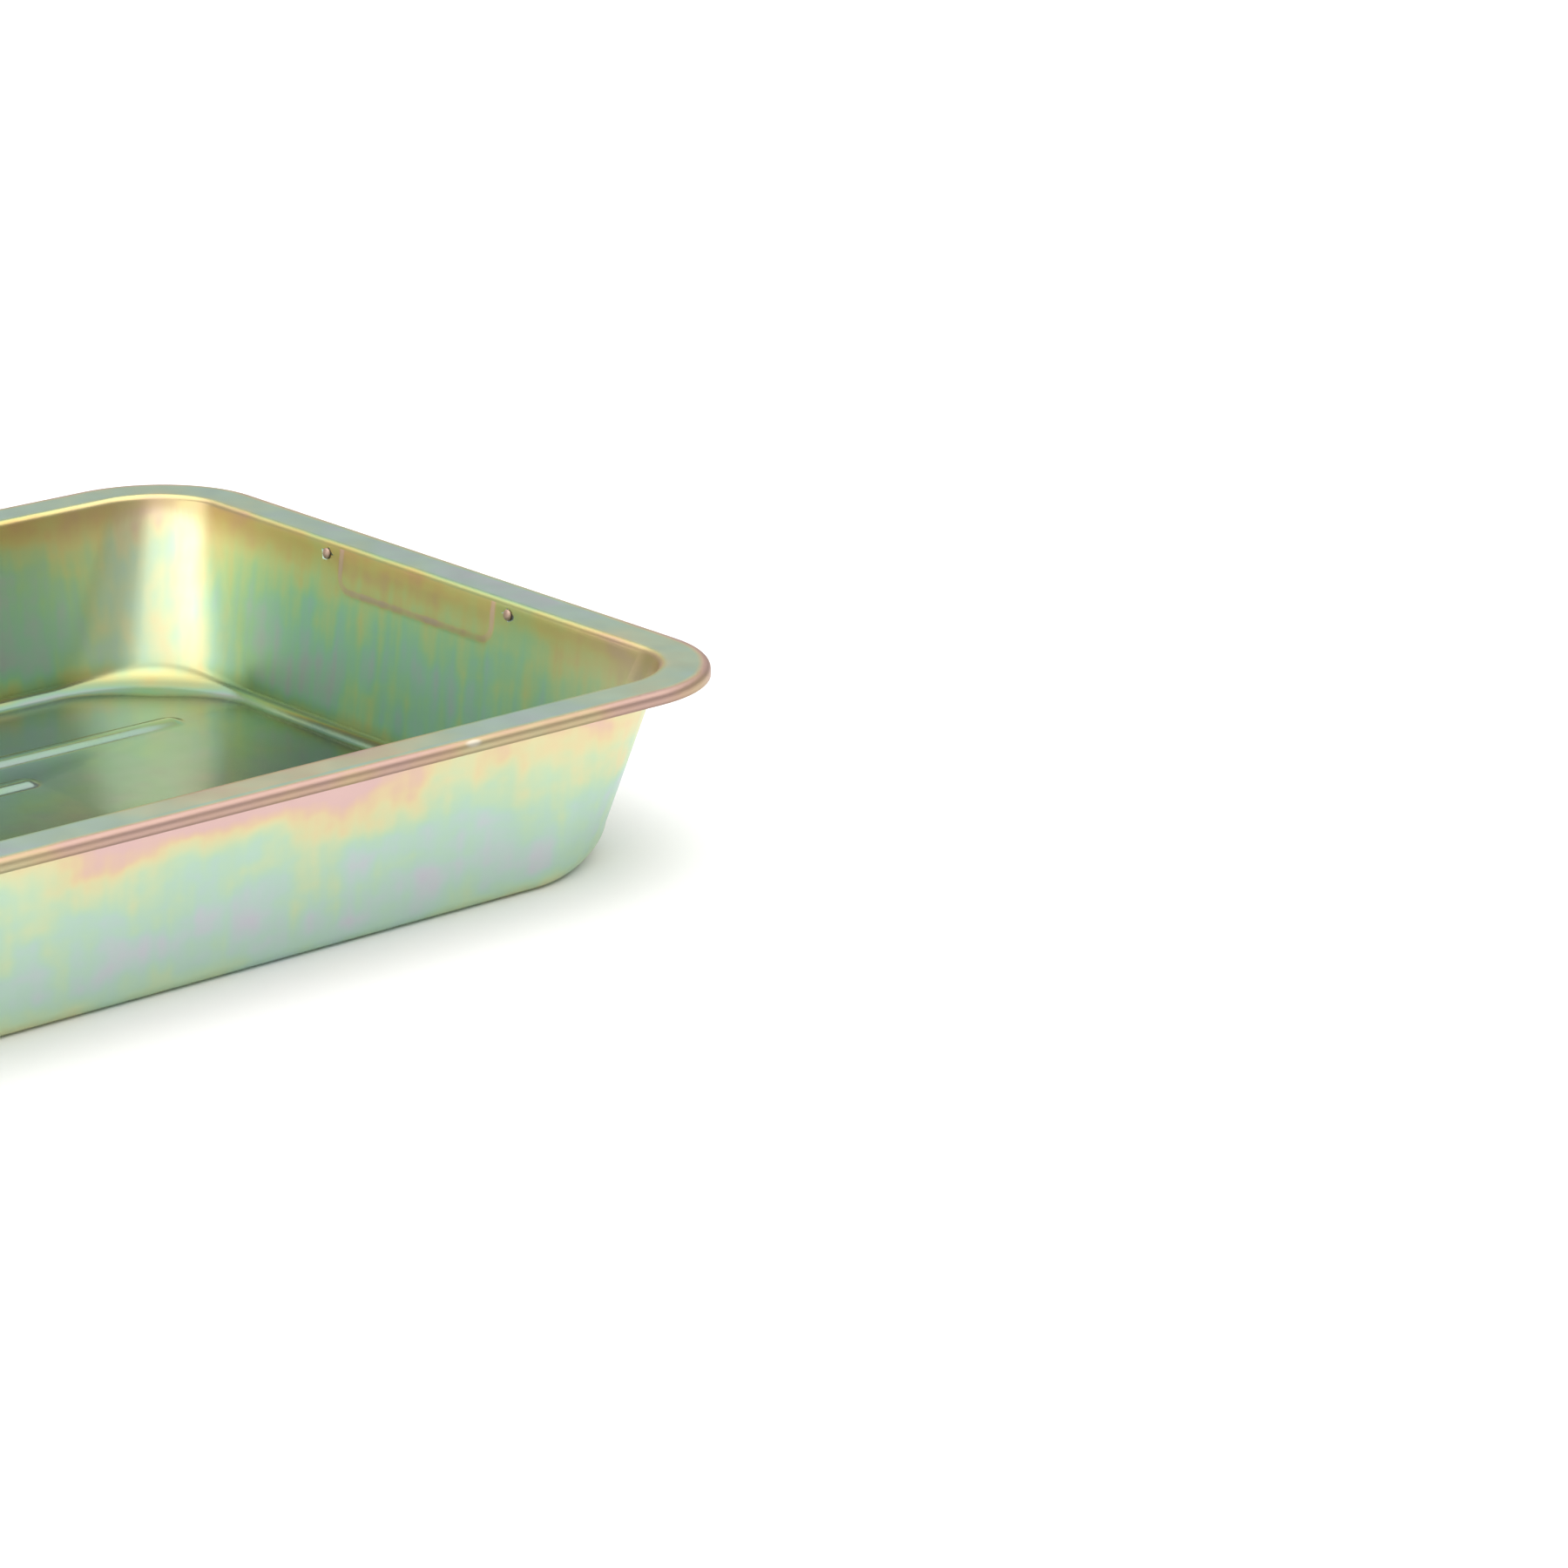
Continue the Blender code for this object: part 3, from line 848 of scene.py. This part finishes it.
# %% Zinc on rolled strip
def strip_finish():
    finish = Finish("plain_zinc_strip", Metallic=0.96, IOR=1.5)
    crystals = finish.node("ShaderNodeTexVoronoi", {"feature": "F1"},
                           {"Vector": finish.place, "Scale": 420.0}, "Color")
    grain = finish.mix(0.5, crystals, (0.5, 0.5, 0.5, 1.0))
    clouds = finish.noise((70.0, 70.0, 70.0), 4.0, 0.6) + 0.5
    tint = finish.ramp(clouds, [
        (0.25, (0.50, 0.52, 0.50)), (0.55, (0.64, 0.66, 0.64)), (0.8, (0.70, 0.69, 0.58))])
    finish.use(finish.mix(0.22, tint, grain, "MULTIPLY"), "Base Color")
    scratches = finish.noise((1500.0, 30.0, 1500.0), 3.0, 0.6)
    finish.use((0.32 + scratches * 0.22 + clouds * 0.05).clamped(), "Roughness")
    finish.use(finish.bump(scratches, 0.000008), "Normal")
    return finish.material


# %% Zinc on drawn wire
def wire_finish():
    finish = Finish("bright_zinc_wire", Metallic=0.97, IOR=1.5)
    clouds = finish.noise((130.0, 130.0, 130.0), 4.0, 0.6) + 0.5
    handled = finish.noise((24.0, 24.0, 24.0), 2.0) + 0.5
    bright = finish.ramp(clouds, [
        (0.2, (0.55, 0.56, 0.55)), (0.6, (0.70, 0.71, 0.69)), (0.9, (0.76, 0.75, 0.68))])
    finish.use(finish.mix(handled.ease(0.55, 0.75) * 0.35, bright, (0.42, 0.41, 0.36, 1.0)), "Base Color")
    across = finish.noise((2600.0, 26.0, 2600.0), 3.0, 0.6)
    upright = finish.noise((2600.0, 2600.0, 26.0), 3.0, 0.6)
    finish.use((0.24 + handled * 0.14 + across * 0.10).clamped(), "Roughness")
    finish.use(finish.bump(across + upright, 0.000006), "Normal")
    return finish.material


# %% Zinc on a hammered head
def rivet_finish():
    finish = Finish("browned_zinc_rivet", Metallic=0.85, IOR=1.5)
    wear = finish.noise((900.0, 900.0, 900.0), 4.0, 0.65) + 0.5
    browned = finish.ramp(wear, [
        (0.25, (0.34, 0.22, 0.17)), (0.5, (0.48, 0.33, 0.26)), (0.75, (0.58, 0.46, 0.36))])
    finish.use(browned, "Base Color")
    finish.use((0.46 + wear * 0.2).clamped(), "Roughness")
    finish.use(finish.bump(wear, 0.00004), "Normal")
    return finish.material


# %% [markdown]
# ## Hinge leaf
# A strip of steel lies flat against the outside of the end wall, and its lower edge is rolled round the
# wire to make a knuckle. The strip's profile is extruded edge by edge, as a roller would bend it. Only the
# middle edges go on into the knuckle, so the two ends stay behind as ears for the rivets.

# %% Sizes of the leaf
LEAF_SHEET = 0.0008
LEAF_LENGTH = 0.105
LEAF_TOP = 0.0021
LEAF_EAR_BOTTOM = 0.0080
KNUCKLE_LENGTH = 0.070
KNUCKLE_DOWN = 0.0112
KNUCKLE_MID_R = 0.0021
KNUCKLE_WRAP = math.radians(285.0)
KNUCKLE_STEPS = 36
EAR_CORNER_R = 0.0022
LEAF_EDGE_BREAK = 0.00012


def leaf_profile():
    """Sheet's middle line as (down the wall, out from its inner face)."""
    plane = SHEET + GAP + LEAF_SHEET / 2
    profile = [(LEAF_TOP, plane), (LEAF_EAR_BOTTOM, plane)]
    for part in fractions(KNUCKLE_STEPS):
        turn = part * KNUCKLE_WRAP
        profile.append((KNUCKLE_DOWN + KNUCKLE_MID_R * math.sin(turn),
                        plane + KNUCKLE_MID_R * (1 - math.cos(turn))))
    return profile


# %% Bend the leaf
def runs_along_y(edge):
    span = edge.verts[0].co - edge.verts[1].co
    return abs(span.y) > 0.9 * span.length


def round_edges(piece, width):
    """Break every sharp edge with a narrow bevel, which catches the light as a real deburred edge does."""
    edge = piece.modifiers.new("broken_edge", "BEVEL")
    edge.width = width
    edge.segments = 2
    edge.limit_method = "ANGLE"
    edge.angle_limit = math.radians(50)
    edge.harden_normals = True


def make_leaf():
    bm = bmesh.new()
    profile = leaf_profile()
    half, knuckle = LEAF_LENGTH / 2, KNUCKLE_LENGTH / 2
    top = [bm.verts.new(wall_point(*profile[0]) + Vector((0, y, 0)))
           for y in (-half, -knuckle, knuckle, half)]
    edges = [bm.edges.new(pair) for pair in zip(top, top[1:])]
    for (down, out), (last_down, last_out) in zip(profile[1:], profile):
        shift = wall_point(down, out) - wall_point(last_down, last_out)
        made = bmesh.ops.extrude_edge_only(bm, edges=edges)["geom"]
        bmesh.ops.translate(bm, verts=[v for v in made if isinstance(v, bmesh.types.BMVert)], vec=shift)
        edges = [e for e in made if isinstance(e, bmesh.types.BMEdge)
                 and max(abs(v.co.y) for v in e.verts) < knuckle + GAP and runs_along_y(e)]
    corners = [v for v in bm.verts if abs(v.co.y) > half - GAP]
    bmesh.ops.bevel(bm, geom=corners, offset=EAR_CORNER_R, offset_type="OFFSET", segments=6, profile=0.5,
                    affect="VERTICES", material=-1)
    bmesh.ops.recalc_face_normals(bm, faces=bm.faces)
    leaf = add_piece("hinge_strip", bm, strip_finish())
    add_sheet(leaf, LEAF_SHEET, 0.0)
    punch_holes(leaf)
    round_edges(leaf, LEAF_EDGE_BREAK)
    return leaf


leaf = make_leaf()
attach(leaf, "tray")
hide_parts("hinge_leaf")
print("hinge strip:", len(leaf.data.polygons), "faces before its edges are broken")

# %% [markdown]
# ## Rivets
# A rivet is turned round its own axis, so its profile is drawn once and spun: a low dome inside the tray, a
# shank through both sheets, and the head that the hammer formed outside.

# %% Spin the rivets
DOME_STEPS = 14
RIVET_SPIN_STEPS = 48


def rivet_profile():
    grip = SHEET + GAP + LEAF_SHEET
    turns = [math.pi / 2 * part for part in fractions(DOME_STEPS)]
    dome = [(RIVET_HEAD_RISE * math.cos(a) ** 0.9, RIVET_HEAD_R * math.sin(a) ** 0.9) for a in turns[:-1]]
    dome += [(0.0, RIVET_HEAD_R)]
    profile = [(-GAP - rise, radius) for rise, radius in dome]
    profile += [(-GAP, RIVET_SHANK_R), (grip + GAP, RIVET_SHANK_R)]
    return profile + [(grip + GAP + rise, radius) for rise, radius in reversed(dome)]


def make_rivet(name, y, material):
    bm = bmesh.new()
    verts = [bm.verts.new((x, radius, 0)) for x, radius in rivet_profile()]
    edges = [bm.edges.new(pair) for pair in zip(verts, verts[1:])]
    bmesh.ops.spin(bm, geom=verts + edges, axis=(1, 0, 0), cent=(0, 0, 0), angle=2 * math.pi,
                   steps=RIVET_SPIN_STEPS, use_merge=True)
    bmesh.ops.remove_doubles(bm, verts=bm.verts, dist=1e-6)
    bmesh.ops.recalc_face_normals(bm, faces=bm.faces)
    bmesh.ops.transform(bm, matrix=rivet_frame(y), verts=bm.verts)
    rivet = add_piece(name, bm, material)
    rivet.data.set_sharp_from_angle(angle=math.radians(50))
    return rivet


browned = rivet_finish()
for side, y in (("left", -RIVET_Y), ("right", RIVET_Y)):
    rivet = make_rivet("rivet_head_" + side, y, browned)
    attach(rivet, "tray")
    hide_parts("rivet_" + side)
    print("rivet", side, len(rivet.data.polygons), "faces")

# %% [markdown]
# ## Hanging loop
# The loop is one length of wire bent four times and butt-welded. It could be a curve with a bevel, but
# bending is just what `spin` does: a circle is extruded along each straight and spun round the centre of
# each bend, until the last ring lands on the first and is merged with it.

# %% Bend the wire
WIRE_R = 0.0014
LOOP_HALF_WIDTH = 0.040
LOOP_DROP = 0.040
LOOP_BEND_R = 0.006
LOOP_BEND_STEPS = 14


def run_wire(bm, ring, shift):
    """Extrude a ring straight on and return the new ring."""
    verts, edges = extrude_ring(bm, ring)
    bmesh.ops.translate(bm, verts=list(verts), vec=shift)
    return edges


def make_loop():
    centre = wall_point(KNUCKLE_DOWN, SHEET + GAP + LEAF_SHEET / 2 + KNUCKLE_MID_R)
    bm = bmesh.new()
    straight_y = LOOP_HALF_WIDTH - LOOP_BEND_R
    start = centre + Vector((0, 0, -LOOP_DROP))
    facing_y = Matrix.Translation(start) @ Matrix.Rotation(math.pi / 2, 4, "X")
    bmesh.ops.create_circle(bm, segments=28, radius=WIRE_R, matrix=facing_y)
    ring = list(bm.edges)
    along, half_height = Vector((0, 1, 0)), LOOP_DROP / 2 - LOOP_BEND_R
    at = start
    for length in (straight_y, 2 * half_height, 2 * straight_y, 2 * half_height):
        ring = run_wire(bm, ring, along * length)
        at = at + along * length
        inward = Vector((0, -along.z, along.y))
        turned = bmesh.ops.spin(bm, geom=ring + list({v for e in ring for v in e.verts}), axis=(1, 0, 0),
                                cent=at + inward * LOOP_BEND_R, angle=math.pi / 2,
                                steps=LOOP_BEND_STEPS)["geom_last"]
        ring = [item for item in turned if isinstance(item, bmesh.types.BMEdge)]
        at = at + (along + inward) * LOOP_BEND_R
        along = inward
    run_wire(bm, ring, along * straight_y)
    bmesh.ops.remove_doubles(bm, verts=bm.verts, dist=1e-5)
    bmesh.ops.recalc_face_normals(bm, faces=bm.faces)
    return add_piece("wire_loop", bm, wire_finish())


loop = make_loop()
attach(loop, "loop")
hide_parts("hanging_loop")
print("wire loop:", len(loop.data.polygons), "faces")

# %% [markdown]
# ## Studio
# A product like this is shot on a white sweep under large soft lights. Bright metal shows what stands round
# it, so the lights matter more than the colours. A broad softbox overhead lights the rim and the floor, a
# window-like one on the left draws the highlight down the far corner, and two weak ones in front fill the
# rest of the corner.

# %% Floor
FLOOR_SIZE = 6.0


def make_floor():
    bm = bmesh.new()
    bmesh.ops.create_grid(bm, x_segments=1, y_segments=1, size=FLOOR_SIZE)
    mesh = bpy.data.meshes.new("studio_floor")
    bm.to_mesh(mesh)
    bm.free()
    floor = bpy.data.objects.new("studio_floor", mesh)
    bpy.context.scene.collection.objects.link(floor)
    finish = Finish("sweep_paper", Roughness=0.9)
    finish.use((0.93, 0.93, 0.93, 1.0), "Base Color")
    mesh.materials.append(finish.material)


make_floor()


# %% Lights
def add_softbox(name, azimuth, elevation, distance, size, power, shape="RECTANGLE"):
    """Area light that looks at the tray from an azimuth, 0 being the -Y side and 90 the +X side."""
    light = bpy.data.lights.new(name, "AREA")
    light.shape = shape
    light.size = size[0]
    if shape == "RECTANGLE":
        light.size_y = size[1]
    light.energy = power
    box = bpy.data.objects.new(name, light)
    bpy.context.scene.collection.objects.link(box)
    turn, rise = math.radians(azimuth), math.radians(elevation)
    aim = Vector((0.0, 0.0, 0.03))
    across = math.cos(rise)
    spot = aim + distance * Vector((math.sin(turn) * across, -math.cos(turn) * across, math.sin(rise)))
    box.location = spot
    box.rotation_euler = (aim - spot).to_track_quat("-Z", "Y").to_euler()
    return box


add_softbox("overhead_softbox", 0, 89, 2.5, (6.2, 6.2), 175, shape="DISK")
add_softbox("window_left", -104, 11, 2.4, (2.4, 1.0), 19)
add_softbox("soft_front", -60, 15, 3.2, (2.2, 1.3), 12.0)
add_softbox("strip_front", -36, 18, 3.1, (0.34, 1.4), 2.6)

world = bpy.data.worlds.new("studio_air")
bpy.context.scene.world = world
world.use_nodes = True
world.node_tree.nodes["Background"].inputs["Color"].default_value = (0.98, 1.0, 0.99, 1.0)
world.node_tree.nodes["Background"].inputs["Strength"].default_value = 0.43

# %% [markdown]
# ## Camera
# A long lens from the front left, a little above the rim, so that the deep end's far corner opens towards
# us.

# %% Place the camera
CAMERA_AIM = Vector((HALF_LENGTH - 0.0677, -0.2299, HEIGHT))
CAMERA_AZIMUTH = math.radians(-41.14)
CAMERA_ELEVATION = math.radians(18.14)
CAMERA_DISTANCE = 1.497
CAMERA_LENS = 128.0


def add_camera():
    data = bpy.data.cameras.new("camera")
    data.lens = CAMERA_LENS
    data.sensor_width = 36.0
    camera = bpy.data.objects.new("camera", data)
    bpy.context.scene.collection.objects.link(camera)
    across = math.cos(CAMERA_ELEVATION)
    back = Vector((math.sin(CAMERA_AZIMUTH) * across, -math.cos(CAMERA_AZIMUTH) * across,
                   math.sin(CAMERA_ELEVATION)))
    camera.location = CAMERA_AIM + back * CAMERA_DISTANCE
    camera.rotation_euler = (-back).to_track_quat("-Z", "Y").to_euler()
    bpy.context.scene.camera = camera


add_camera()
bpy.context.scene.view_settings.view_transform = "Standard"
